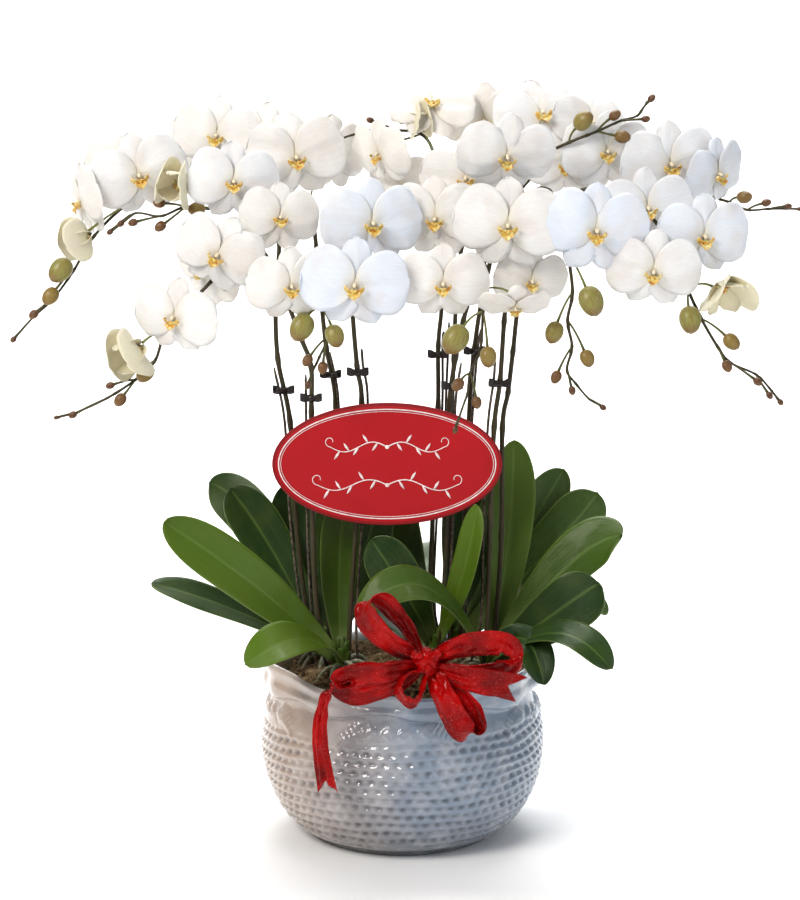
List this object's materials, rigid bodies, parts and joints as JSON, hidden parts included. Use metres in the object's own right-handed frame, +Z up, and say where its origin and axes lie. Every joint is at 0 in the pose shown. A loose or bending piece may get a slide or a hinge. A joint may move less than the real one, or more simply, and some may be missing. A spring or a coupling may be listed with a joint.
{
  "type": "potted orchid",
  "caption": "Gift pot of white moth orchids on arching spikes over strap leaves, in a glazed round pot with moss, an oval card and a ribbon bow.",
  "frame": {"origin": "centre of the pot's flat foot", "axes": "+Z up out of the pot, -Y towards the show side with the card and bow, +X to the viewer's right"},
  "size_m": [0.8657, 0.3822, 0.8458],
  "materials": {
    "glazed_pot": "gloss",
    "dried_moss": "matte",
    "red_card": "satin",
    "red_ribbon": "gloss",
    "tie_wire": "satin",
    "orchid_plant": "satin",
    "stake_wire": "satin",
    "clip_plastic": "satin",
    "white_petal": "satin",
    "green_leaf": "gloss",
    "dark_stem": "satin",
    "bud_skin": "satin"
  },
  "bodies": {
    "root": {"pot": "glazed_pot", "moss_bed": "dried_moss", "gift_card": "red_card", "ribbon_bow": "red_ribbon", "card_tie_1": "tie_wire", "card_tie_2": "tie_wire", "orchid_left_back": "orchid_plant", "orchid_left_front": "orchid_plant", "orchid_middle": "orchid_plant", "orchid_right_front": "orchid_plant", "orchid_right_back": "orchid_plant", "stake_01": "stake_wire", "stake_02": "stake_wire", "stake_03": "stake_wire", "stake_04": "stake_wire", "stake_05": "stake_wire", "stake_06": "stake_wire", "stake_07": "stake_wire", "stake_09": "stake_wire", "stake_10": "stake_wire", "stem_clip_01": "clip_plastic", "stem_clip_02": "clip_plastic", "stem_clip_03": "clip_plastic", "stem_clip_04": "clip_plastic", "stem_clip_05": "clip_plastic", "stem_clip_06": "clip_plastic", "stem_clip_07": "clip_plastic", "stem_clip_09": "clip_plastic", "stem_clip_10": "clip_plastic"}
  },
  "joints": []
}
